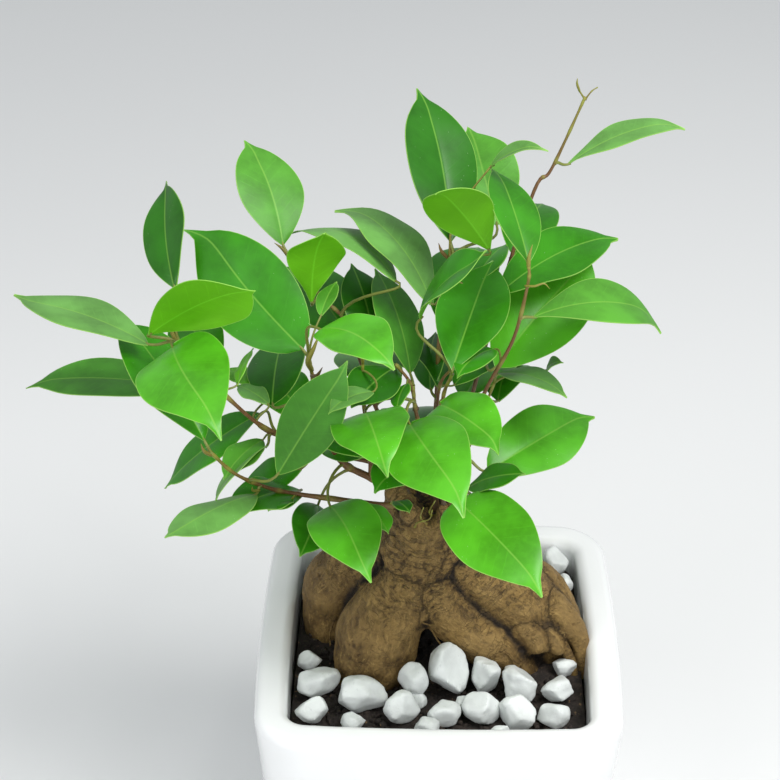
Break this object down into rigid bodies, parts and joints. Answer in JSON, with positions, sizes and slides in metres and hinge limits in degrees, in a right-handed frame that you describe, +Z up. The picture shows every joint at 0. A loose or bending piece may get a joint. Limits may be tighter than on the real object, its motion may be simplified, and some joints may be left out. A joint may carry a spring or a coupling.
{
  "type": "potted ficus",
  "caption": "Ficus with a swollen root trunk and grafted leafy twigs, planted in soil with white pebbles in a square glazed pot.",
  "frame": {"origin": "middle of the pot's flat base", "axes": "+Z up, +X to the right and -Y to the front, square to the pot's sides"},
  "size_m": [0.2266, 0.1434, 0.3055],
  "materials": {
    "pot_glaze": "gloss",
    "soil": "matte",
    "pebble": "satin",
    "trunk_bark": "matte",
    "twig": "satin",
    "leaf": "satin"
  },
  "bodies": {
    "root": {"leaf_back_left_1": "leaf", "leaf_back_left_2": "leaf", "leaf_back_left_3": "leaf", "leaf_back_left_4": "leaf", "leaf_back_left_5": "leaf", "leaf_centre_1": "leaf", "leaf_centre_2": "leaf", "leaf_centre_3": "leaf", "leaf_centre_4": "leaf", "leaf_crown_1": "leaf", "leaf_crown_2": "leaf", "leaf_crown_3": "leaf", "leaf_crown_4": "leaf", "leaf_crown_5": "leaf", "leaf_far_left_1": "leaf", "leaf_far_left_2": "leaf", "leaf_far_left_3": "leaf", "leaf_far_left_4": "leaf", "leaf_far_left_5": "leaf", "leaf_far_left_6": "leaf", "leaf_front_1": "leaf", "leaf_front_2": "leaf", "leaf_front_3": "leaf", "leaf_left_front_1": "leaf", "leaf_left_front_2": "leaf", "leaf_left_front_3": "leaf", "leaf_left_front_4": "leaf", "leaf_left_front_5": "leaf", "leaf_low_left_1": "leaf", "leaf_low_left_2": "leaf", "leaf_low_left_3": "leaf", "leaf_right_1": "leaf", "leaf_right_2": "leaf", "leaf_right_3": "leaf", "leaf_right_4": "leaf", "leaf_whip_1": "leaf", "leaf_whip_2": "leaf", "leaf_whip_3": "leaf", "pebble_1": "pebble", "pebble_10": "pebble", "pebble_2": "pebble", "pebble_3": "pebble", "pebble_4": "pebble", "pebble_5": "pebble", "pebble_6": "pebble", "pebble_7": "pebble", "pebble_8": "pebble", "pebble_9": "pebble", "pot": "pot_glaze", "soil": "soil", "trunk": "trunk_bark", "twig_back_left": "twig", "twig_centre": "twig", "twig_crown": "twig", "twig_far_left": "twig", "twig_front": "twig", "twig_left_front": "twig", "twig_low_left": "twig", "twig_right": "twig", "twig_whip": "twig"}
  },
  "joints": []
}
